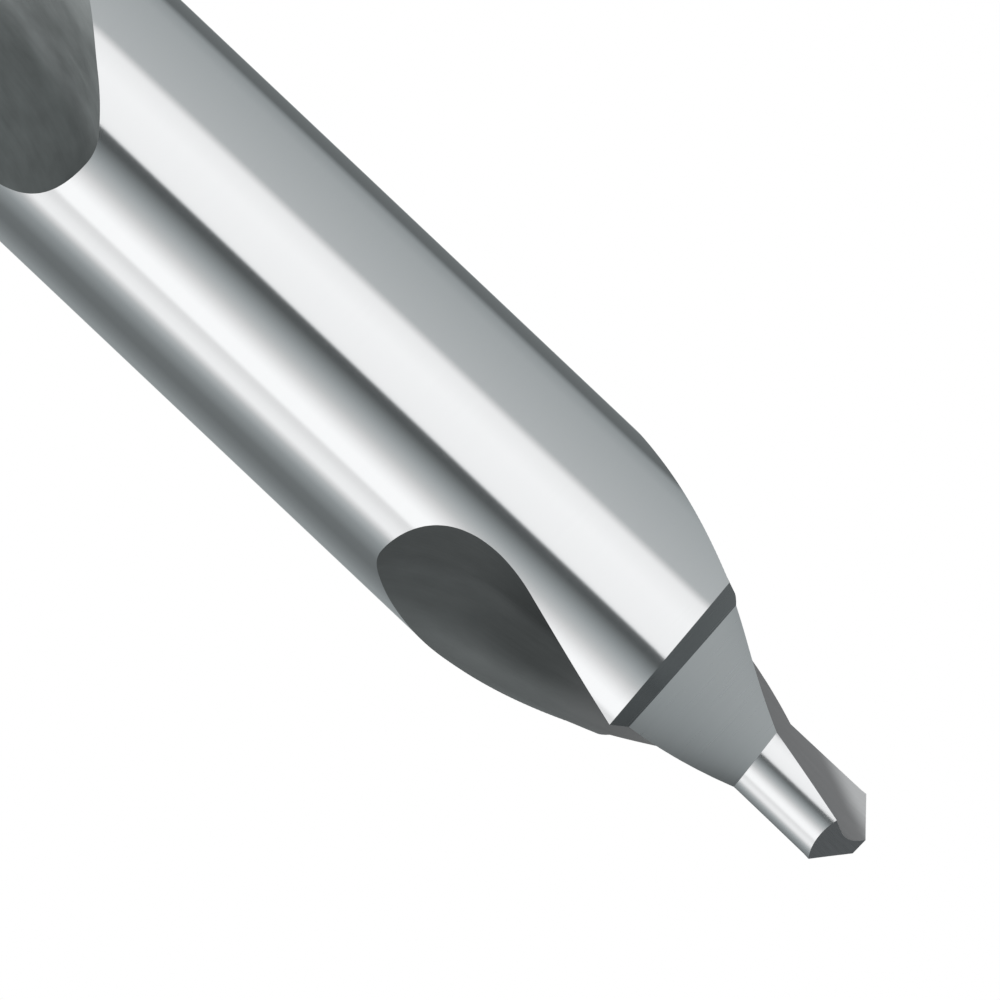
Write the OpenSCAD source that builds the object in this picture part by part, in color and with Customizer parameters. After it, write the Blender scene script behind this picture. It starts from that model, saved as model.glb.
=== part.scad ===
// Centre drill, double ended, bell type: a plain shank between two equal working ends.
// Each end has a short pilot drill, a 60 degree countersink and a 120 degree protecting bell,
// with two helical flutes that run out in the shank.
// Sizes are in millimetres and degrees. The tool lies along Z, centred on the origin,
// and the end with the lower Z is the one that the photograph shows.

/* [Shank] */
// Diameter of the plain shank, 5/8 inch
body_d = 15.875; // [14.5:0.125:17.5]
// Length over the two chisel edges, nominal 3 1/4 inch
overall_length = 83.25; // [76:0.05:100]
// Turn of the far end against the near end, about the tool's axis
end_turn = 119.3; // [0:0.1:180]

/* [Pilot drill] */
// Diameter of the pilot, 7/32 inch
pilot_d = 5.556; // [4.6:0.002:6.6]
// Chisel edge to the root of the pilot
pilot_length = 7.2; // [6.2:0.05:8.6]
// Angle between the two cutting lips
point_angle = 118; // [110:1:130]
// Fall of each point face behind its lip
point_relief = 23.5; // [15:0.5:28]

/* [Countersink and bell] */
// Full angle of the countersink
sink_angle = 60; // [56:1:66]
// Diameter where the countersink meets the bell, 1/2 inch
bell_d = 12.7; // [11.6:0.05:13.6]
// Full angle of the bell
bell_angle = 120; // [110:1:130]
// Tilt that backs each land off behind its cutting edge
land_relief = 1.9; // [0.5:0.1:3]
// Chisel edge to the line that the backed-off lands tilt about
land_pivot = 4.3; // [3:0.1:6]

/* [Flutes] */
// Chisel edge to the end of the flute in the shank
flute_length = 29.1; // [27:0.1:32]
// Helix angle at the shank's diameter
flute_helix = 23.1; // [18:0.1:26]
// Angle of the flutes at the chisel edge, about the tool's axis
flute_start = 132.5; // [0:0.1:180]
// Slope of the cutting wall at its foot, from the flute's middle
rake_slope = 92; // [86:0.5:95]
// Radius on which the cutting wall hooks forward
rake_hook_r = 13.2; // [11:0.1:30]
// Slope of the back wall, from the flute's middle
heel_slope = 35.9; // [32:0.1:42]
// Length of the back wall before it rolls over
heel_length = 2.32; // [1.8:0.02:3]
// Radius on which the back wall rolls over
heel_roll_r = 2.1; // [1.6:0.05:2.6]
// Radius of the flute's floor
floor_r = 1.6; // [1.3:0.05:1.9]
// Thickness of the web at the chisel edge
web = 0.87; // [0.7:0.01:1.1]
// Length of the even web before it thickens
web_length = 1.9; // [1:0.1:4]
// Rise of the floor per length behind the even web
web_taper = 0.138; // [0.11:0.001:0.16]
// Radius of the run-out that the wheel leaves
runout_r = 8.85; // [6.5:0.05:11]

/* [Hidden] */
$fn = 96;

body_r = body_d / 2;
pilot_r = pilot_d / 2;
bell_r = bell_d / 2;
half_length = overall_length / 2;
sink_slope = tan(sink_angle / 2);
bell_slope = tan(bell_angle / 2);

// Stations along one end, from its chisel edge
bell_z = pilot_length + (bell_r - pilot_r) / sink_slope;
body_z = bell_z + (body_r - bell_r) / bell_slope;

// The turned shank starts inside the pilot, on the countersink's cone.
root_r = 0.7 * pilot_r;
root_z = pilot_length - (pilot_r - root_r) / sink_slope;

// Each land is backed off by tilting its turned form about a line through the pilot,
// and the two tilted halves part inside the flutes.
turn_rate = 360 * tan(flute_helix) / (PI * body_d);
land_split = flute_start + turn_rate * (pilot_length + body_z) / 2;

// The cutting lips follow the rake wall, and the two point faces meet in the chisel edge.
lip_turn = flute_start + rake_slope - (pilot_r / 2) / rake_hook_r * (180 / PI);
lip_fall = 1 / tan(point_angle / 2);
face_fall = tan(point_relief);
chisel_turn = lip_turn - atan2(lip_fall, face_fall);
roof_fall = sqrt(lip_fall * lip_fall + face_fall * face_fall);

// The back wall runs straight, then rolls over until it lies across the flute.
roll_turn = 90 - heel_slope;

// The wheel rises on its own radius until the floor leaves the shank at flute_length.
runout_rise = body_r - web_line(flute_length);
runout_turn = acos(1 - runout_rise / runout_r);
runout_z = flute_length - runout_r * sin(runout_turn);
runout_past = 4;

// Fineness of the flute's surface
even_rings = 32;
runout_rings = 14;
floor_steps = 7;
rake_steps = 5;
roll_steps = 7;

// How far cutters reach past the solid
clear = 2;
wall_reach = 1.15 * body_r;
cutter_top = 2.6 * body_r;
cutter_hub = 0.9 * cutter_top;
sink_inner = 0.85 * root_r;
sink_outer = 1.4 * body_r;

// Distance of the floor from the axis before the run-out
function web_line(z) = web / 2 + web_taper * max(z - web_length, 0);

// Point on a curved wall of the flute, a share of the way from its foot: [across, outward]
function rake_point(share) =
    let (bend = share * wall_reach / rake_hook_r * (180 / PI))
    rake_hook_r * [
        cos(rake_slope - bend) - cos(rake_slope),
        sin(rake_slope) - sin(rake_slope - bend)
    ];

function roll_point(share) =
    let (bend = share * roll_turn)
    heel_roll_r * [
        cos(heel_slope + bend) - cos(heel_slope),
        sin(heel_slope + bend) - sin(heel_slope)
    ];

// One section of the flute, as points [across, outward] about its middle line
function flute_section(floor_at) =
    let (
        middle = [0, floor_at + floor_r],
        rake_foot = middle + floor_r * [cos(rake_slope), -sin(rake_slope)],
        heel_foot = middle + floor_r * [-cos(heel_slope), -sin(heel_slope)],
        from = heel_slope - 90,
        to = 90 - rake_slope,
        roll_foot = heel_foot + heel_length * [-sin(heel_slope), cos(heel_slope)],
        roll_end = roll_foot + roll_point(1),
        roll = [for (i = [roll_steps : -1 : 0]) roll_foot + roll_point(i / roll_steps)],
        heel_end = roll_end[0] - wall_reach,
        floor = [for (i = [0 : floor_steps])
            let (a = from + (to - from) * i / floor_steps)
            middle + floor_r * [sin(a), -cos(a)]],
        rake = [for (i = [1 : rake_steps]) rake_foot + rake_point(i / rake_steps)]
    )
    concat(
        [[heel_end, cutter_top], [heel_end, roll_end[1]]],
        roll,
        floor,
        rake,
        [[rake[rake_steps - 1][0], cutter_top]]
    );

// That section set at a height and turned along the helix
function flute_ring(z, floor_at) =
    let (turn = flute_start + turn_rate * z)
    [for (p = flute_section(floor_at))
        [p[1] * cos(turn) - p[0] * sin(turn), p[1] * sin(turn) + p[0] * cos(turn), z]];

// Point in the open middle of a section
function flute_hub(z) =
    let (turn = flute_start + turn_rate * z)
    [cutter_hub * cos(turn), cutter_hub * sin(turn), z];

// Heights and floors of all sections, from below the chisel edge to past the run-out
function flute_stations() =
    let (last = runout_turn + runout_past)
    concat(
        [[-clear, web / 2]],
        [for (i = [0 : even_rings - 1])
            let (z = runout_z * i / even_rings)
            [z, web_line(z)]],
        [for (i = [0 : runout_rings])
            let (a = last * i / runout_rings, z = runout_z + runout_r * sin(a))
            [z, web_line(z) + runout_r * (1 - cos(a))]]
    );

// Solid that the wheel takes away for one flute, its two ends closed by a fan about a middle point
module flute_cutter() {
    stations = flute_stations();
    rings = [for (s = stations) flute_ring(s[0], s[1])];
    n = len(rings[0]);
    last = len(rings) - 1;
    hubs = [for (s = [stations[0], stations[last]]) flute_hub(s[0])];
    low_hub = len(rings) * n;
    high_hub = low_hub + 1;
    sides = [for (k = [0 : last - 1]) for (i = [0 : n - 1])
        let (a = k * n + i, b = k * n + (i + 1) % n)
        each [[a, b, a + n], [b, b + n, a + n]]];
    low_end = [for (i = [0 : n - 1]) [(i + 1) % n, i, low_hub]];
    high_end = [for (i = [0 : n - 1]) [last * n + i, last * n + (i + 1) % n, high_hub]];
    polyhedron(
        points = concat([for (ring = rings) each ring], hubs),
        faces = concat(sides, low_end, high_end),
        convexity = 4
    );
}

// Turned outline around the countersink and bell, taken off the shank's end
module sink_outline() {
    polygon([
        [sink_inner, pilot_length - (pilot_r - sink_inner) / sink_slope],
        [bell_r, bell_z],
        [sink_outer, bell_z + (sink_outer - bell_r) / bell_slope],
        [sink_outer, -clear],
        [sink_inner, -clear]
    ]);
}

// Relief of one land: the tilted outline, kept to that land's half
module land_cutter() {
    rotate([0, 0, land_split])
        intersection() {
            translate([0, 0, land_pivot])
                rotate([0, land_relief, 0])
                    translate([0, 0, -land_pivot])
                        rotate_extrude()
                            sink_outline();
            translate([-2 * body_r, 0, -2 * clear])
                cube([4 * body_r, 2 * body_r, 2 * body_z]);
        }
}

// The two faces ground on the point, which meet in the chisel edge
module point_cutter() {
    wide = 2 * pilot_r;
    rotate([0, 0, chisel_turn])
        translate([-wide, 0, 0])
            rotate([90, 0, 90])
                linear_extrude(2 * wide)
                    polygon([
                        [0, 0],
                        [wide, wide * roof_fall],
                        [wide, -clear],
                        [-wide, -clear],
                        [-wide, wide * roof_fall]
                    ]);
}

// Places something made for the near end at both ends
module both_ends() {
    translate([0, 0, -half_length])
        children();
    rotate([180, 0, end_turn])
        translate([0, 0, -half_length])
            children();
}

// Places something made for one land or flute at both
module both_lands() {
    for (turn = [0, 180])
        rotate([0, 0, turn])
            children();
}

// Shank from one countersink to the other, with its backed-off lands
module shank() {
    difference() {
        translate([0, 0, root_z - half_length])
            cylinder(r = body_r, h = 2 * (half_length - root_z));
        both_ends()
            both_lands()
                land_cutter();
    }
}

// Whole tool, one piece of high-speed steel
module centre_drill() {
    color([0.72, 0.73, 0.75])
        difference() {
            union() {
                shank();
                both_ends()
                    translate([0, 0, -clear / 2])
                        cylinder(r = pilot_r, h = pilot_length + clear);
            }
            both_ends() {
                point_cutter();
                both_lands()
                    flute_cutter();
            }
        }
}

centre_drill();
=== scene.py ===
"""Centre drill: the ground tool around its packed frame, and the white stage that it is seen on."""

import math
from collections import namedtuple
from types import SimpleNamespace

import bmesh
import bpy
from bmesh.types import BMEdge, BMVert
from bpy.props import FloatProperty, FloatVectorProperty, PointerProperty
from mathutils import Matrix, Vector


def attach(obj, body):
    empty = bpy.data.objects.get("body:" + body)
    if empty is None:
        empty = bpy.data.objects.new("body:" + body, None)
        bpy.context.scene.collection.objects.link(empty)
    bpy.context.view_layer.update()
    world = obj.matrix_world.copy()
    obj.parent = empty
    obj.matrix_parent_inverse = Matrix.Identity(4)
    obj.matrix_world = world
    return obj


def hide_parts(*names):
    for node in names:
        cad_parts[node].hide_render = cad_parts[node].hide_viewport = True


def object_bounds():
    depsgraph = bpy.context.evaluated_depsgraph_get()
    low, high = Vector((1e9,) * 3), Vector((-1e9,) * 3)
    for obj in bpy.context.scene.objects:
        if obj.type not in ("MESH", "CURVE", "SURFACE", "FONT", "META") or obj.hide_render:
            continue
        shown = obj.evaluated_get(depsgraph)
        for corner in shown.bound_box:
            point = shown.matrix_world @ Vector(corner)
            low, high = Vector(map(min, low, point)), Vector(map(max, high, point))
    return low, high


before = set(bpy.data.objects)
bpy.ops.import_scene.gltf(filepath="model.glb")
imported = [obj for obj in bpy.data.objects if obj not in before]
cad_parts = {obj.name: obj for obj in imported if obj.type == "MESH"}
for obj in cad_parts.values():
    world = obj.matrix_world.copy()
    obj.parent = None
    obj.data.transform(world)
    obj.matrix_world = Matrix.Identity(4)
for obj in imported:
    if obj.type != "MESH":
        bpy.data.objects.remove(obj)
cad_low, cad_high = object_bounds()

bl_info = {
    "name": "Centre drill",
    "version": (1, 0, 0),
    "blender": (4, 5, 0),
    "location": "View3D > Sidebar > Centre drill",
    "description": "Grinds a double-ended bell-type centre drill and sets up its stage",
    "category": "Add Mesh",
}

NODE = "centre_drill"
MM = 0.001

# Map on the flutes' faces: millimetres across from the back wall's shoulder, and along the flute
GRIND_MAP = "grind"

# Finishes, in the order of the tool's material slots; the far flutes' finish is a lighter copy of
# the near flutes', as painted light
POLISHED, PILOT, SINK, BELL, FLUTE, FAR_FLUTE_LIT, POINT = range(7)

# Fineness of the turned forms: steps round the axis and rings along it
SHANK_STEPS, SHANK_RINGS = 384, 60
PILOT_STEPS, PILOT_RINGS = 256, 24
SINK_RINGS = 16

# Fineness of the flutes: sections along the even part and the run-out, and steps across each part
EVEN_SECTIONS, RUNOUT_SECTIONS = 90, 40
ROLL_STEPS, HEEL_STEPS, FLOOR_STEPS, RAKE_STEPS = 20, 12, 14, 16

# Points closer than this become one: millimetres in a turned form and in the ground tool
TURNED_GAP, GROUND_GAP = 1e-5, 2e-4

# Edges that turn by more than this are sharp.
SHARP_EDGE = math.radians(20)

# Marks that a way of grinding leaves: how close they lie on each axis, how fine their noise goes,
# how much they change the tone, and how strong and how deep, in metres, their relief is
Marks = namedtuple("Marks", "scale detail change strength depth")
POLISHING = Marks((150, 150, 30000), 3, 0.01, 0.15, 5e-7)
TURNING = Marks((150, 150, 16000), 3, 0.012, 0.15, 1.5e-6)
POINTING = Marks((9000, 500, 500), 3, 0.06, 0.2, 1e-5)
FLUTING = Marks((6, 0.2, 1), 4, 0.05, 0.25, 1e-5)

# Clouds in the dull scale of the flutes
CLOUD_SCALE, CLOUD_DETAIL = (1, 0.35, 1), 3

# Noise mostly keeps to this range, and marks change the gloss by this share.
NOISE_LOW, NOISE_HIGH = 0.3, 0.7
GLOSS_CHANGE = 0.1

# Millimetres along a flute over which its scale takes the run-out's tone, and the point's
RUNOUT_FADE = (22, 28)
TIP_FADE = (21, 12)

# Millimetres across a flute over which its back wall takes painted light, leaving painted shade
# in the valley, at the near and the far end
NEAR_WALL_LIGHT, FAR_WALL_LIGHT = (12.4, 10.4), (15.2, 13.2)

# The strip of painted reflection along the lips, standing for a soft box seen in the cutting wall,
# begins over this range of the slope times the way across, less the way along.
LIP_GLINT_SLOPE = 2.16
LIP_GLINT_FADE = (30.2, 33.2)

# Panels around the tool: degrees to the left of the camera, and how bright the panel is there
PANELS = (
    # Soft box behind, and the dark corner on its right
    (-180, 1), (-174, 1), (-168, 0.2), (-136, 0.17),
    # Grey wall on the right
    (-127, 0.4), (-110, 0.5), (-59, 0.59),
    # Large soft box from the right up to the camera
    (-52, 1.12), (-34, 1.22), (-3.4, 1.16),
    # Gap at the camera, which opens towards the left
    (-1.9, 0.11), (4.5, 0.115), (28, 0.69),
    # Soft box on the left, with a seam in it
    (40, 1.15), (46, 1.3), (57, 1.3), (60, 0.97), (64, 1), (69, 1.12), (76, 1.18),
    # Dark corner on the left of the soft box behind
    (84, 0.62), (93, 0.38), (108, 0.21), (120, 0.195), (150, 0.34), (168, 0.34), (174, 1), (180, 1),
)

# Rows of the panels: height as a share of half the tent, and how much of their own light is left
ROWS = ((-1, 0), (-0.55, 0.2), (-0.3, 1), (0.3, 1), (0.55, 0.2), (1, 0))

# Cards under and over the tool: how bright at the left and right of the front, then of the back
CARD_UNDER = ((0.42, 0.55), (0, 0.46))
CARD_OVER = ((0.95, 1.05), (0.8, 0.9))

# Light from the dim parts of the stage is a little cooler than that from its soft boxes.
COOL, WARM = (0.92, 1, 1.02), (1, 1, 1)
WARM_FADE = (0.3, 0.9)

# Fineness of the stage: degrees in a strip of the panels, cells along a card, sides of the floor
STRIP_DEGREES, CARD_CELLS, FLOOR_SIDES = 4, 16, 96

# Metres that the camera sees, past the far rim of the floor
VIEW_DEPTH = 10


def length(name, description, millimetres):
    """Length property with its default in millimetres."""
    return FloatProperty(
        name=name,
        description=description,
        default=millimetres * MM,
        min=0,
        precision=5,
        unit="LENGTH",
    )


def angle(name, description, degrees):
    """Angle property with its default in degrees."""
    return FloatProperty(
        name=name,
        description=description,
        default=math.radians(degrees),
        precision=4,
        unit="ROTATION",
    )


def share(name, description, default):
    """Plain number property from nothing to one."""
    return FloatProperty(
        name=name, description=description, default=default, min=0, max=1, precision=3
    )


def colour(name, description, default):
    """Colour property."""
    return FloatVectorProperty(
        name=name, description=description, default=default, size=3, min=0, max=1, subtype="COLOR"
    )


class DrillSizes(bpy.types.PropertyGroup):
    """Sizes that the tool is ground to, the same at both ends"""

    body_d: length("Shank diameter", "Diameter of the plain shank", 15.875)
    overall_length: FloatProperty(
        name="Overall length",
        description="Length over the two chisel edges",
        default=cad_high.z - cad_low.z,
        min=0,
        precision=5,
        unit="LENGTH",
    )
    end_turn: angle("End turn", "Turn of the far end against the near end", 119.3)
    pilot_d: length("Pilot diameter", "Diameter of the pilot drill", 5.556)
    pilot_length: length("Pilot length", "Chisel edge to the root of the pilot", 7.2)
    point_angle: angle("Point angle", "Angle between the two cutting lips", 118)
    point_relief: angle("Point relief", "Fall of each point face behind its lip", 23.5)
    sink_angle: angle("Countersink angle", "Full angle of the countersink", 60)
    bell_d: length("Bell diameter", "Diameter where the countersink meets the bell", 12.7)
    bell_angle: angle("Bell angle", "Full angle of the bell", 120)
    land_relief: angle("Land relief", "Tilt that backs each land off behind its edge", 1.9)
    land_pivot: length("Relief pivot", "Chisel edge to the line that the lands tilt about", 4.3)
    flute_length: length("Flute length", "Chisel edge to the end of the flute", 29.1)
    flute_helix: angle("Flute helix", "Helix angle at the shank's diameter", 23.1)
    flute_start: angle("Flute start", "Angle of the flutes at the chisel edge", 132.5)
    rake_slope: angle("Cutting wall slope", "Slope of the cutting wall at its foot", 92)
    rake_hook_r: length("Cutting wall hook", "Radius on which the cutting wall hooks forward", 13.2)
    heel_slope: angle("Back wall slope", "Slope of the back wall", 35.9)
    heel_length: length("Back wall length", "Length of the back wall before it rolls over", 2.32)
    heel_roll_r: length("Back wall roll", "Radius on which the back wall rolls over", 2.1)
    floor_r: length("Floor radius", "Radius of the flute's floor", 1.6)
    web: length("Web", "Thickness of the web at the chisel edge", 0.87)
    web_length: length("Even web", "Length of the even web before it thickens", 1.9)
    web_taper: share("Web taper", "Rise of the floor per length behind the even web", 0.138)
    runout_r: length("Run-out radius", "Radius of the run-out that the wheel leaves", 8.85)


class DrillFinish(bpy.types.PropertyGroup):
    """Colours and gloss of the ground faces"""

    steel: colour("Polished steel", "Shank, lands and pilot", (0.725, 0.733, 0.74))
    steel_gloss: share("Polished roughness", "Roughness of the shank and lands", 0.1)
    pilot_gloss: share("Pilot roughness", "Roughness of the pilot's lands", 0.16)
    sink: colour("Countersink steel", "Ground faces of the countersink", (0.635, 0.645, 0.65))
    sink_gloss: share("Countersink roughness", "Roughness of the countersink", 0.3)
    bell: colour("Bell steel", "Ground faces of the bell", (0.245, 0.253, 0.257))
    bell_gloss: share("Bell roughness", "Roughness of the bell", 0.25)
    flute: colour("Flute steel", "Near flutes' dull scale at the run-out", (0.116, 0.125, 0.125))
    flute_deep: colour("Deep flute steel", "Near flutes' scale farther in", (0.07, 0.076, 0.076))
    # Painted light on the back walls, so that the valleys stay in painted shade
    lit_brow: colour("Brow steel", "Near flutes' back walls, rubbed", (0.158, 0.17, 0.17))
    flute_cloud: share("Flute clouds", "How much the near flutes' tone wanders", 0.07)
    # Far flutes: a lighter, more even copy of the near flutes' tones, as painted light
    far_flute: colour("Far flute steel", "Far flutes' scale at the run-out", (0.087, 0.098, 0.098))
    far_deep: colour("Deep far flute steel", "Far flutes' scale farther in", (0.098, 0.109, 0.109))
    far_lit_brow: colour("Far brow steel", "Far flutes' back walls, rubbed", (0.245, 0.265, 0.265))
    far_cloud: share("Far flute clouds", "How much the far flutes' tone wanders", 0.16)
    flute_tip: colour("Flute tip steel", "All flutes towards the point", (0.22, 0.221, 0.224))
    # Painted reflection of a soft box along the lips
    lip_glint: colour("Lip steel", "All flutes where the lips are highlighted", (0.54, 0.542, 0.547))
    flute_gloss: share("Flute roughness", "Roughness of the flutes", 0.55)
    flute_scale: share("Flute scale", "Share of the flutes' faces that is dull scale", 0.4)
    point: colour("Point steel", "Ground faces of the point", (0.31, 0.308, 0.316))
    point_gloss: share("Point roughness", "Roughness of the point faces", 0.28)


class StagePlan(bpy.types.PropertyGroup):
    """Camera, floor and the panels around the tool"""

    lens: FloatProperty(
        name="Lens", description="Focal length of the camera in millimetres", default=400, min=1
    )
    distance: length("Camera distance", "Camera to the tool's axis", 587.6)
    roll: angle("Camera roll", "Tilt of the tool in the picture, from level", 43.37)
    aim_x: length("Aim across", "Middle of the picture across the tool", 0.29)
    aim_below: length("Aim below", "Middle of the picture below the tool's middle", 15.225)
    tent_radius: length("Panel distance", "Tool's axis to the panels around it", 500)
    tent_half: length("Panel half height", "Half the height of the panels", 560)
    floor_size: length("Floor size", "Radius of the floor", 2500)
    floor_below: length("Floor below", "Tool's middle to the floor", 616)
    floor: colour("Floor", "Colour of the floor and of the air around", (1.0, 1.0, 1.0))


def drawing(sizes):
    """The sizes in millimetres and radians, with the stations and slopes that follow from them."""
    d = SimpleNamespace()
    d.body_r = sizes.body_d / MM / 2
    d.pilot_r = sizes.pilot_d / MM / 2
    d.bell_r = sizes.bell_d / MM / 2
    d.half = sizes.overall_length / MM / 2
    d.pilot_length = sizes.pilot_length / MM
    d.sink_slope = math.tan(sizes.sink_angle / 2)
    d.bell_slope = math.tan(sizes.bell_angle / 2)
    d.bell_z = d.pilot_length + (d.bell_r - d.pilot_r) / d.sink_slope
    d.body_z = d.bell_z + (d.body_r - d.bell_r) / d.bell_slope

    # The shank's blank starts inside the pilot, on the countersink's cone.
    d.root_r = 0.7 * d.pilot_r
    d.root_z = d.pilot_length - (d.pilot_r - d.root_r) / d.sink_slope

    d.start = sizes.flute_start
    d.turn_rate = math.tan(sizes.flute_helix) / d.body_r
    d.land_relief = sizes.land_relief
    d.land_pivot = sizes.land_pivot / MM
    d.land_split = d.start + d.turn_rate * (d.pilot_length + d.body_z) / 2
    d.rake = SimpleNamespace(slope=sizes.rake_slope, r=sizes.rake_hook_r / MM)
    d.heel = SimpleNamespace(
        slope=sizes.heel_slope, length=sizes.heel_length / MM, roll_r=sizes.heel_roll_r / MM
    )
    d.floor_r = sizes.floor_r / MM
    d.web = sizes.web / MM
    d.web_length = sizes.web_length / MM
    d.web_taper = sizes.web_taper
    d.runout_r = sizes.runout_r / MM
    rise = d.body_r - web_line(d, sizes.flute_length / MM)
    d.runout_turn = math.acos(1 - rise / d.runout_r)
    d.runout_z = sizes.flute_length / MM - d.runout_r * math.sin(d.runout_turn)

    # The point's two faces follow the cutting lips and meet in the chisel edge.
    lip_turn = d.start + d.rake.slope - d.pilot_r / 2 / d.rake.r
    lip_fall = 1 / math.tan(sizes.point_angle / 2)
    face_fall = math.tan(sizes.point_relief)
    d.chisel_turn = lip_turn - math.atan2(lip_fall, face_fall)
    d.roof_fall = math.hypot(lip_fall, face_fall)

    # How far blanks and wheels reach past the finished form
    d.clear = 2
    d.sink_inner = 0.85 * d.root_r
    d.sink_outer = 1.4 * d.body_r
    d.split_lap = 0.02
    d.wall_reach = 1.15 * d.body_r
    d.cutter_top = 2.6 * d.body_r
    d.runout_past = math.radians(4)

    d.near_end = Matrix.Translation((0, 0, -d.half))
    end_for_end = Matrix.Rotation(sizes.end_turn, 4, "Z") @ Matrix.Rotation(math.pi, 4, "X")
    d.far_end = end_for_end @ d.near_end
    return d


def web_line(d, z):
    """Distance of the flute's floor from the axis, before the run-out."""
    return d.web / 2 + d.web_taper * max(z - d.web_length, 0)


def only(kind, geom):
    """The parts of one kind in what a bmesh operator gives back."""
    return [part for part in geom if isinstance(part, kind)]


def turned(outline, steps, closed=False):
    """Form turned about Z from an outline of (radius, height) points."""
    bm = bmesh.new()
    verts = [bm.verts.new((r, 0, z)) for r, z in outline]
    ends = verts[1:] + verts[:1] if closed else verts[1:]
    edges = [bm.edges.new(pair) for pair in zip(verts, ends)]
    bmesh.ops.spin(
        bm, geom=verts + edges, axis=(0, 0, 1), angle=2 * math.pi, steps=steps, use_merge=True
    )
    bmesh.ops.remove_doubles(bm, verts=bm.verts, dist=TURNED_GAP)
    bmesh.ops.recalc_face_normals(bm, faces=bm.faces)
    return bm


def shank_blank(d):
    """Plain bar between the two pilots."""
    low = d.root_z - d.half
    wall = [(d.body_r, low - 2 * low * i / SHANK_RINGS) for i in range(SHANK_RINGS + 1)]
    return turned([(0, low), *wall, (0, -low)], SHANK_STEPS)


def pilot_blank(d):
    """Plain bar of the pilot, from before the chisel edge to inside the shank."""
    low, high = -d.clear / 2, d.pilot_length + d.clear / 2
    wall = [(d.pilot_r, low + (high - low) * i / PILOT_RINGS) for i in range(PILOT_RINGS + 1)]
    bm = turned([(0, low), *wall, (0, high)], PILOT_STEPS)
    for face in bm.faces:
        face.material_index = PILOT
    return bm


def land_wheel(d):
    """What is ground off around one land: countersink and bell, tilted to back the land off."""
    inner, outer = d.sink_inner, d.sink_outer
    low = d.pilot_length - (d.pilot_r - inner) / d.sink_slope
    sink = [
        (inner + (d.bell_r - inner) * i / SINK_RINGS, low + (d.bell_z - low) * i / SINK_RINGS)
        for i in range(SINK_RINGS)
    ]
    rim = (outer, d.bell_z + (outer - d.bell_r) / d.bell_slope)
    outline = [*sink, (d.bell_r, d.bell_z), rim, (outer, -d.clear), (inner, -d.clear)]
    bm = turned(outline, SHANK_STEPS, closed=True)
    for face in bm.faces:
        face.material_index = SINK if face.calc_center_median().xy.length < d.bell_r else BELL
    tilt = Matrix.Rotation(d.land_relief, 3, "Y")
    bmesh.ops.rotate(bm, verts=bm.verts, cent=(0, 0, d.land_pivot), matrix=tilt)
    halves = bmesh.ops.bisect_plane(
        bm,
        geom=[*bm.verts, *bm.edges, *bm.faces],
        plane_co=(0, -d.split_lap, 0),
        plane_no=(0, 1, 0),
        clear_inner=True,
    )
    bmesh.ops.edgeloop_fill(bm, edges=only(BMEdge, halves["geom_cut"]))
    bmesh.ops.rotate(bm, verts=bm.verts, matrix=Matrix.Rotation(d.land_split, 3, "Z"))
    bmesh.ops.recalc_face_normals(bm, faces=bm.faces)
    return bm


def point_wheel(d):
    """What is ground off the pilot's end: the space under a roof whose ridge is the chisel edge."""
    wide = 2 * d.pilot_r
    gable = [
        (0, 0),
        (wide, wide * d.roof_fall),
        (wide, -d.clear),
        (-wide, -d.clear),
        (-wide, wide * d.roof_fall),
    ]
    bm = bmesh.new()
    side = bm.faces.new([bm.verts.new((-wide, y, z)) for y, z in gable])
    raised = bmesh.ops.extrude_face_region(bm, geom=[side])["geom"]
    bmesh.ops.translate(bm, verts=only(BMVert, raised), vec=(2 * wide, 0, 0))
    bmesh.ops.rotate(bm, verts=bm.verts, matrix=Matrix.Rotation(d.chisel_turn, 3, "Z"))
    bmesh.ops.recalc_face_normals(bm, faces=bm.faces)
    for face in bm.faces:
        face.material_index = POINT
    return bm


def flute_stations(d):
    """Height and floor of a flute's sections, from before the chisel edge to past its run-out."""
    stations = [(-d.clear, d.web / 2)]
    for i in range(EVEN_SECTIONS):
        z = d.runout_z * i / EVEN_SECTIONS
        stations.append((z, web_line(d, z)))
    for i in range(RUNOUT_SECTIONS + 1):
        turn = (d.runout_turn + d.runout_past) * i / RUNOUT_SECTIONS
        z = d.runout_z + d.runout_r * math.sin(turn)
        stations.append((z, web_line(d, z) + d.runout_r * (1 - math.cos(turn))))
    return stations


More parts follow.
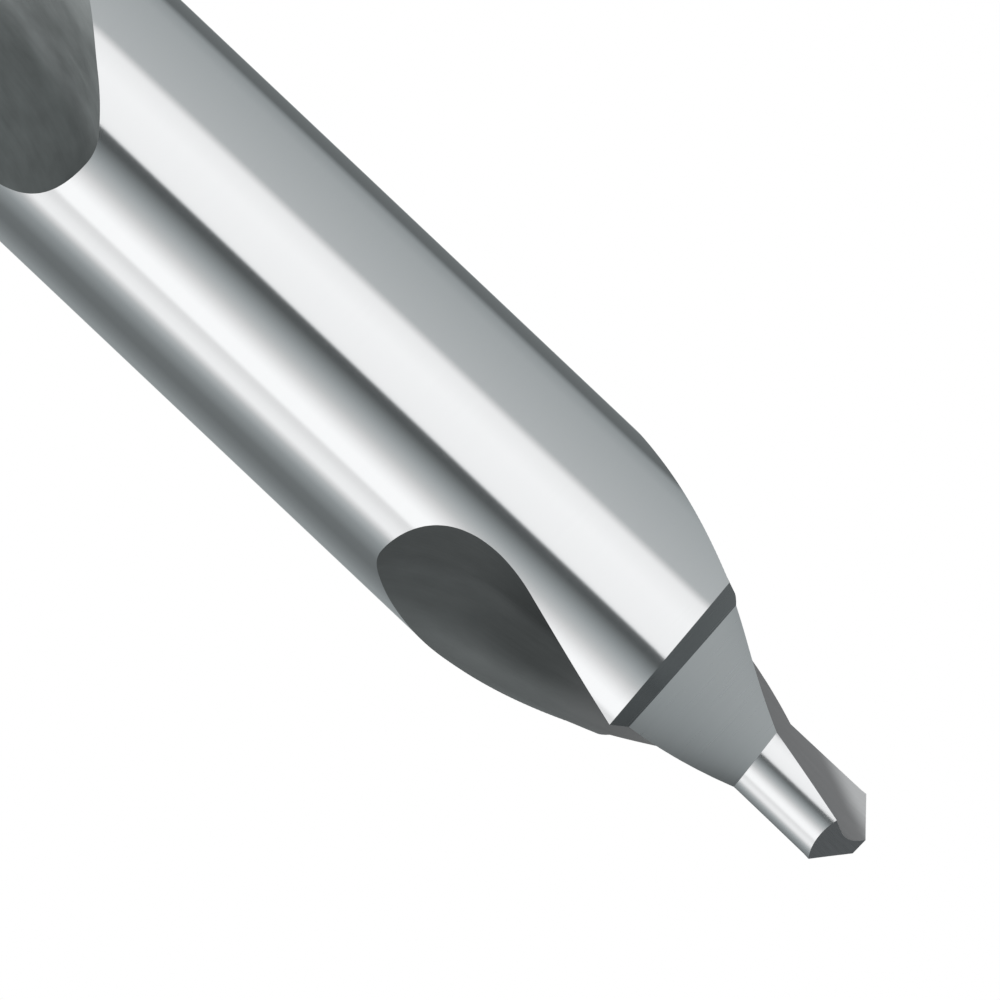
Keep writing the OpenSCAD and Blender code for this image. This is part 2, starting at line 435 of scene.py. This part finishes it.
def flute_profile(bm, d):
    """Draws a flute's section, outward on X and across on Y, from back wall to cutting wall."""

    def at(across, outward):
        return Vector((outward, across, 0))

    def arc(vert, hub, turn, steps):
        drawn = bmesh.ops.spin(bm, geom=[vert], cent=hub, axis=(0, 0, -1), angle=turn, steps=steps)
        return only(BMVert, drawn["geom_last"])[0]

    def straight(vert, end, steps):
        stride = (end - vert.co) / steps
        for _ in range(steps):
            vert = bmesh.ops.extrude_vert_indiv(bm, verts=[vert])["verts"][0]
            vert.co += stride
        return vert

    rake, heel = d.rake, d.heel
    middle = at(0, d.floor_r)
    rake_foot = middle + d.floor_r * at(math.cos(rake.slope), -math.sin(rake.slope))
    heel_foot = middle - d.floor_r * at(math.cos(heel.slope), math.sin(heel.slope))
    rake_hub = rake_foot - rake.r * at(math.cos(rake.slope), -math.sin(rake.slope))
    roll_foot = heel_foot + heel.length * at(-math.sin(heel.slope), math.cos(heel.slope))
    roll_hub = roll_foot - heel.roll_r * at(math.cos(heel.slope), math.sin(heel.slope))
    shoulder = roll_hub + at(-d.wall_reach, heel.roll_r)

    run = bm.verts.layers.float.new("across")
    first = bmesh.ops.create_vert(bm, co=shoulder)["vert"][0]
    last = bmesh.ops.extrude_vert_indiv(bm, verts=[first])["verts"][0]
    last.co = roll_hub + at(0, heel.roll_r)
    last = arc(last, roll_hub, heel.slope - math.pi / 2, ROLL_STEPS)
    last = straight(last, heel_foot, HEEL_STEPS)
    last = arc(last, middle, math.pi - heel.slope - rake.slope, FLOOR_STEPS)
    last = arc(last, rake_hub, d.wall_reach / rake.r, RAKE_STEPS)

    vert, edge = first, None
    while vert is not last:
        edge = next(e for e in vert.link_edges if e is not edge)
        after = edge.other_vert(vert)
        after[run] = vert[run] + edge.calc_length()
        vert = after
    tops = bmesh.ops.extrude_vert_indiv(bm, verts=[first, last])["verts"]
    for vert in tops:
        vert.co.x = d.cutter_top
    bm.edges.new(tops)


def flute_wheel(d):
    """What is ground out for one flute: its section drawn along the helix and up the run-out."""
    bm = bmesh.new()
    flute_profile(bm, d)
    across = bm.verts.layers.float["across"]
    along = bm.verts.layers.float.new("along")
    place, ring, first = Matrix(), bm.edges[:], bm.edges[:]
    verts, travelled, before = bm.verts[:], 0, None
    for z, floor_at in flute_stations(d):
        if before is not None:
            drawn = bmesh.ops.extrude_edge_only(bm, edges=ring)["geom"]
            verts = only(BMVert, drawn)
            fresh = set(verts)
            ring = [edge for edge in only(BMEdge, drawn) if fresh.issuperset(edge.verts)]
            travelled += math.hypot(z - before[0], floor_at - before[1])
        target = (
            Matrix.Translation((0, 0, z))
            @ Matrix.Rotation(d.start + d.turn_rate * z, 4, "Z")
            @ Matrix.Translation((floor_at, 0, 0))
        )
        bmesh.ops.transform(bm, matrix=target @ place.inverted(), verts=verts)
        for vert in verts:
            vert[along] = travelled
        place, before = target, (z, floor_at)
    for rim in (first, ring):
        bmesh.ops.contextual_create(bm, geom=rim)
    bmesh.ops.recalc_face_normals(bm, faces=bm.faces)
    grind = bm.loops.layers.uv.new(GRIND_MAP)
    for face in bm.faces:
        face.material_index = FLUTE
        for loop in face.loops:
            loop[grind].uv = (loop.vert[across], loop.vert[along])
    return bm


def workpiece(name, bm, finishes, place=None):
    """Object of a form in millimetres, with the tool's finishes in their slots."""
    mesh = bpy.data.meshes.new(name)
    if GRIND_MAP not in bm.loops.layers.uv:
        bm.loops.layers.uv.new(GRIND_MAP)
    bm.to_mesh(mesh)
    bm.free()
    if place is not None:
        mesh.transform(place)
    for finish in finishes:
        mesh.materials.append(finish)
    piece = bpy.data.objects.new(name, mesh)
    bpy.context.scene.collection.objects.link(piece)
    return piece


def add_step(blank, tool, operation):
    """One grinding step on the blank."""
    step = blank.modifiers.new(tool.name, "BOOLEAN")
    step.operation = operation
    step.solver = "MANIFOLD"
    step.object = tool


def ground_mesh(d, finishes):
    """The whole tool in metres: blank, lands, pilots, points and flutes, in the order of making."""
    blank = workpiece("blank", shank_blank(d), finishes)
    half_turn = Matrix.Rotation(math.pi, 4, "Z")
    ends = (d.near_end, d.far_end)
    lands = [end @ turn for end in ends for turn in (Matrix(), half_turn)]
    steps = (
        (land_wheel, lands, "DIFFERENCE"),
        (pilot_blank, ends, "UNION"),
        (point_wheel, ends, "DIFFERENCE"),
        (flute_wheel, lands, "DIFFERENCE"),
    )
    tools = []
    for make, places, operation in steps:
        for place in places:
            tools.append(workpiece(make.__name__, make(d), finishes, place))
            add_step(blank, tools[-1], operation)
    graph = bpy.context.evaluated_depsgraph_get()
    mesh = bpy.data.meshes.new_from_object(blank.evaluated_get(graph))
    for used in (blank, *tools):
        spent = used.data
        bpy.data.objects.remove(used)
        bpy.data.meshes.remove(spent)
    bm = bmesh.new()
    bm.from_mesh(mesh)
    bmesh.ops.remove_doubles(bm, verts=bm.verts, dist=GROUND_GAP)
    bmesh.ops.dissolve_degenerate(bm, edges=bm.edges, dist=GROUND_GAP)
    bmesh.ops.scale(bm, verts=bm.verts, vec=(MM, MM, MM))
    # The far end's flutes take the lighter copy of the flute finish, as painted light
    for face in bm.faces:
        if face.material_index == FLUTE and face.calc_center_median().z > 0:
            face.material_index = FAR_FLUTE_LIT
    if any(not edge.is_manifold for edge in bm.edges):
        raise RuntimeError("the ground tool has an open edge")
    bm.to_mesh(mesh)
    bm.free()
    mesh.shade_smooth()
    mesh.set_sharp_from_angle(angle=SHARP_EDGE)
    return mesh


def steel(name, base, gloss):
    """Bare steel, and its node tree to build the grinding marks in."""
    finish = bpy.data.materials.new(name)
    finish.use_nodes = True
    shader = finish.node_tree.nodes["Principled BSDF"]
    shader.inputs["Base Color"].default_value = (*base, 1)
    shader.inputs["Metallic"].default_value = 1
    shader.inputs["Roughness"].default_value = gloss
    return finish, finish.node_tree, shader


def marks(tree, source, scale, detail):
    """Noise drawn out by a mapping, as grinding marks."""
    mapping = tree.nodes.new("ShaderNodeMapping")
    mapping.inputs["Scale"].default_value = scale
    noise = tree.nodes.new("ShaderNodeTexNoise")
    noise.inputs["Scale"].default_value = 1
    noise.inputs["Detail"].default_value = detail
    tree.links.new(source, mapping.inputs["Vector"])
    tree.links.new(mapping.outputs["Vector"], noise.inputs["Vector"])
    return noise.outputs["Fac"]


def spread(tree, value, low, high):
    """Marks spread between two values."""
    ranged = tree.nodes.new("ShaderNodeMapRange")
    ranged.inputs["From Min"].default_value = NOISE_LOW
    ranged.inputs["From Max"].default_value = NOISE_HIGH
    ranged.inputs["To Min"].default_value = low
    ranged.inputs["To Max"].default_value = high
    tree.links.new(value, ranged.inputs["Value"])
    return ranged.outputs["Result"]


def smooth_step(tree, value, start, end):
    """Share that goes softly from nothing at the start to one at the end."""
    step = tree.nodes.new("ShaderNodeMapRange")
    step.interpolation_type = "SMOOTHSTEP"
    step.inputs["From Min"].default_value = start
    step.inputs["From Max"].default_value = end
    tree.links.new(value, step.inputs["Value"])
    return step.outputs["Result"]


def blend(tree, share_of_second, first, second):
    """Colour between two colours, each given as a plain colour or as a socket."""
    mix = tree.nodes.new("ShaderNodeMix")
    mix.data_type = "RGBA"
    tree.links.new(share_of_second, mix.inputs["Factor"])
    # The colour sockets of this node come after those for numbers and vectors.
    for socket, part in ((mix.inputs[6], first), (mix.inputs[7], second)):
        if isinstance(part, bpy.types.NodeSocket):
            tree.links.new(part, socket)
        else:
            socket.default_value = (*part, 1)
    return mix.outputs[2]


def tint(tree, value, base, change):
    """Base colour made darker and lighter by the marks."""
    dark, light = ([(1 + way * change) * c for c in base] for way in (-1, 1))
    return blend(tree, spread(tree, value, 0, 1), dark, light)


def grain(tree, shader, value, kind):
    """Marks as a slight change of gloss and as fine relief."""
    roughness = shader.inputs["Roughness"]
    low, high = ((1 + way * GLOSS_CHANGE) * roughness.default_value for way in (-1, 1))
    tree.links.new(spread(tree, value, low, high), roughness)
    bump = tree.nodes.new("ShaderNodeBump")
    bump.inputs["Strength"].default_value = kind.strength
    bump.inputs["Distance"].default_value = kind.depth
    tree.links.new(value, bump.inputs["Height"])
    tree.links.new(bump.outputs["Normal"], shader.inputs["Normal"])


def ground_steel(name, base, gloss, kind):
    """Steel with the marks of one way of grinding, laid along the tool's own axes."""
    finish, tree, shader = steel(name, base, gloss)
    source = tree.nodes.new("ShaderNodeTexCoord").outputs["Object"]
    fine = marks(tree, source, kind.scale, kind.detail)
    tree.links.new(tint(tree, fine, base, kind.change), shader.inputs["Base Color"])
    grain(tree, shader, fine, kind)
    return finish


def flute_steel(name, look, wall, deep, lit_brow, wall_light, cloud):
    """Steel of a flute after hardening: dull scale, painted light on its back wall and painted
    shade in its valley, painted reflection along the lips.
    """
    finish, tree, shader = steel(name, wall, look.flute_gloss)
    shader.inputs["Metallic"].default_value = 1 - look.flute_scale
    grind = tree.nodes.new("ShaderNodeUVMap")
    grind.uv_map = GRIND_MAP
    source = grind.outputs["UV"]
    place = tree.nodes.new("ShaderNodeSeparateXYZ")
    tree.links.new(source, place.inputs["Vector"])
    across, along = place.outputs["X"], place.outputs["Y"]
    # Painted reflection along the lips: where it lies across and along the flute
    glint_line = tree.nodes.new("ShaderNodeVectorMath")
    glint_line.operation = "DOT_PRODUCT"
    glint_line.inputs[1].default_value = (LIP_GLINT_SLOPE, -1, 0)
    tree.links.new(source, glint_line.inputs[0])

    clouds = marks(tree, source, CLOUD_SCALE, CLOUD_DETAIL)
    fine = marks(tree, source, FLUTING.scale, FLUTING.detail)
    inner, outer, painted_light = (tint(tree, clouds, tone, cloud) for tone in (deep, wall, lit_brow))
    tip, glint = (tint(tree, fine, tone, FLUTING.change) for tone in (look.flute_tip, look.lip_glint))
    tone = blend(tree, smooth_step(tree, along, *RUNOUT_FADE), inner, outer)
    # Painted light on the back wall, leaving painted shade in the valley
    tone = blend(tree, smooth_step(tree, across, *wall_light), tone, painted_light)
    tone = blend(tree, smooth_step(tree, along, *TIP_FADE), tone, tip)
    # Painted reflection along the lips
    tone = blend(tree, smooth_step(tree, glint_line.outputs["Value"], *LIP_GLINT_FADE), tone, glint)
    tree.links.new(tone, shader.inputs["Base Color"])
    grain(tree, shader, fine, FLUTING)
    return finish


def drill_finishes(look):
    """All finishes of the tool, in the order of its slots."""
    near = (look.flute, look.flute_deep, look.lit_brow, NEAR_WALL_LIGHT, look.flute_cloud)
    # The far copy has its painted light over a wider back wall
    far = (look.far_flute, look.far_deep, look.far_lit_brow, FAR_WALL_LIGHT, look.far_cloud)
    return (
        ground_steel("polished_steel", look.steel, look.steel_gloss, POLISHING),
        ground_steel("pilot_steel", look.steel, look.pilot_gloss, POLISHING),
        ground_steel("countersink_steel", look.sink, look.sink_gloss, TURNING),
        ground_steel("bell_steel", look.bell, look.bell_gloss, TURNING),
        flute_steel("flute_steel", look, *near),
        flute_steel("far_flute_lit_steel", look, *far),
        ground_steel("point_steel", look.point, look.point_gloss, POINTING),
    )


class GrindDrill(bpy.types.Operator):
    """Grind the drill from its blank and give each face its finish"""

    bl_idname = "centre_drill.grind"
    bl_label = "Grind drill"

    def execute(self, context):
        finishes = drill_finishes(context.scene.drill_finish)
        mesh = ground_mesh(drawing(context.scene.drill_sizes), finishes)
        mesh.name = "ground_drill"
        drill = bpy.data.objects.new("ground_drill", mesh)
        context.scene.collection.objects.link(drill)
        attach(drill, "root")
        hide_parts(NODE)
        return {"FINISHED"}


def panel_light():
    """Light of a panel, as bright as the level that its mesh holds."""
    light = bpy.data.materials.new("panel_light")
    light.use_nodes = True
    tree = light.node_tree
    tree.nodes.clear()
    level = tree.nodes.new("ShaderNodeAttribute")
    level.attribute_name = "level"
    glow = tree.nodes.new("ShaderNodeEmission")
    out = tree.nodes.new("ShaderNodeOutputMaterial")
    warmth = smooth_step(tree, level.outputs["Fac"], *WARM_FADE)
    tree.links.new(blend(tree, warmth, COOL, WARM), glow.inputs["Color"])
    tree.links.new(level.outputs["Fac"], glow.inputs["Strength"])
    tree.links.new(glow.outputs["Emission"], out.inputs["Surface"])
    return light


def stage_piece(name, bm, material, seen_by_camera):
    """Object of the stage. A panel shows only in the metal, and it throws no shadow."""
    mesh = bpy.data.meshes.new(name)
    bm.to_mesh(mesh)
    bm.free()
    mesh.materials.append(material)
    piece = bpy.data.objects.new(name, mesh)
    bpy.context.scene.collection.objects.link(piece)
    if not seen_by_camera:
        piece.visible_camera = False
        piece.visible_diffuse = False
        piece.visible_shadow = False


def card_level(card, right, back):
    """How bright a card is at a place, given from -1 to 1."""
    across, deep = 0.5 + 0.5 * right, 0.5 + 0.5 * back
    front_level, back_level = (left + (far - left) * across for left, far in card)
    return front_level + (back_level - front_level) * deep


def panel_ring(plan):
    """The panels as one ring of upright strips, which fade into the cards above and below."""
    bm = bmesh.new()
    level = bm.verts.layers.float.new("level")
    (start, start_level), (low, _) = PANELS[0], ROWS[0]
    foot = Vector((0, -plan.tent_radius, low * plan.tent_half))
    place = Matrix.Rotation(-math.radians(start), 3, "Z") @ foot
    column = bmesh.ops.create_vert(bm, co=place)["vert"]
    for height, _ in ROWS[1:]:
        raised = bmesh.ops.extrude_vert_indiv(bm, verts=column[-1:])["verts"]
        raised[0].co.z = height * plan.tent_half
        column += raised

    def light(verts, bright):
        for vert, (height, own) in zip(verts, ROWS):
            card = CARD_UNDER if height < 0 else CARD_OVER
            rim = card_level(card, vert.co.x / plan.tent_radius, vert.co.y / plan.tent_radius)
            vert[level] = rim + (bright - rim) * own

    light(column, start_level)
    strip = bm.edges[:]
    for (here, dim), (there, bright) in zip(PANELS, PANELS[1:]):
        steps = max(1, round((there - here) / STRIP_DEGREES))
        turn = math.radians((there - here) / steps)
        for step in range(steps):
            drawn = bmesh.ops.spin(
                bm, geom=column + strip, axis=(0, 0, -1), angle=turn, steps=1
            )["geom_last"]
            strip, column = only(BMEdge, drawn), only(BMVert, drawn)
            column.sort(key=lambda vert: vert.co.z)
            light(column, dim + (bright - dim) * (step + 1) / steps)
    return bm


def end_card(plan, card, height):
    """Card under or over the tool, darker towards its back."""
    bm = bmesh.new()
    level = bm.verts.layers.float.new("level")
    bmesh.ops.create_grid(
        bm, x_segments=CARD_CELLS, y_segments=CARD_CELLS, size=plan.tent_radius
    )
    for vert in bm.verts:
        vert[level] = card_level(card, vert.co.x / plan.tent_radius, vert.co.y / plan.tent_radius)
    bmesh.ops.translate(bm, verts=bm.verts, vec=(0, 0, height))
    return bm


def floor_disc(plan):
    """Round floor under the tool."""
    bm = bmesh.new()
    bmesh.ops.create_circle(bm, cap_ends=True, segments=FLOOR_SIDES, radius=plan.floor_size)
    bmesh.ops.translate(bm, verts=bm.verts, vec=(0, 0, -plan.floor_below))
    return bm


def floor_paint(tone):
    """Plain pale floor, without shine."""
    paint = bpy.data.materials.new("floor_paint")
    paint.use_nodes = True
    shader = paint.node_tree.nodes["Principled BSDF"]
    shader.inputs["Base Color"].default_value = (*tone, 1)
    shader.inputs["Roughness"].default_value = 0.9
    shader.inputs["Specular IOR Level"].default_value = 0
    return paint


def white_air(tone):
    """World that is as white as the floor."""
    air = bpy.data.worlds.new("white_air")
    air.use_nodes = True
    backdrop = air.node_tree.nodes["Background"]
    backdrop.inputs["Color"].default_value = (*tone, 1)
    backdrop.inputs["Strength"].default_value = 1
    return air


def stage_camera(plan):
    """Camera square to the tool, rolled so that the tool lies aslant in the picture."""
    camera = bpy.data.objects.new("camera", bpy.data.cameras.new("camera"))
    camera.data.lens = plan.lens
    camera.data.clip_end = VIEW_DEPTH
    right = Vector((math.sin(plan.roll), 0, -math.cos(plan.roll)))
    back = Vector((0, -1, 0))
    pose = Matrix((right, back.cross(right), back)).transposed().to_4x4()
    pose.translation = (plan.aim_x, -plan.distance, -plan.aim_below)
    camera.matrix_world = pose
    return camera


class SetStage(bpy.types.Operator):
    """Set the camera, the floor and the panels that the polished steel reflects"""

    bl_idname = "centre_drill.stage"
    bl_label = "Set stage"

    def execute(self, context):
        scene, plan = context.scene, context.scene.drill_stage
        scene.view_settings.view_transform = "Standard"
        light = panel_light()
        stage_piece("panels", panel_ring(plan), light, False)
        stage_piece("card_under", end_card(plan, CARD_UNDER, -plan.tent_half), light, False)
        stage_piece("card_over", end_card(plan, CARD_OVER, plan.tent_half), light, False)
        stage_piece("floor", floor_disc(plan), floor_paint(plan.floor), True)
        scene.world = white_air(plan.floor)
        camera = stage_camera(plan)
        scene.collection.objects.link(camera)
        scene.camera = camera
        return {"FINISHED"}


class DrillPanel(bpy.types.Panel):
    """Sizes, finish and stage of the centre drill"""

    bl_idname = "VIEW3D_PT_centre_drill"
    bl_label = "Centre drill"
    bl_space_type = "VIEW_3D"
    bl_region_type = "UI"
    bl_category = "Centre drill"

    def draw(self, context):
        for operator in OPERATORS:
            self.layout.operator(operator.bl_idname)
        for name, group in GROUPS.items():
            box = self.layout.box()
            box.label(text=group.__doc__)
            for prop in group.__annotations__:
                box.prop(getattr(context.scene, name), prop)


OPERATORS = (GrindDrill, SetStage)
GROUPS = {"drill_sizes": DrillSizes, "drill_finish": DrillFinish, "drill_stage": StagePlan}


def register():
    """Adds the classes, and the property groups to the scene."""
    for cls in (*GROUPS.values(), *OPERATORS, DrillPanel):
        bpy.utils.register_class(cls)
    for name, group in GROUPS.items():
        setattr(bpy.types.Scene, name, PointerProperty(type=group))


def unregister():
    """Takes away what register adds."""
    for name in GROUPS:
        delattr(bpy.types.Scene, name)
    for cls in (DrillPanel, *reversed(OPERATORS), *reversed(list(GROUPS.values()))):
        bpy.utils.unregister_class(cls)


def main():
    """Builds the tool and its stage."""
    register()
    bpy.ops.centre_drill.grind()
    bpy.ops.centre_drill.stage()


if __name__ == "__main__":
    main()
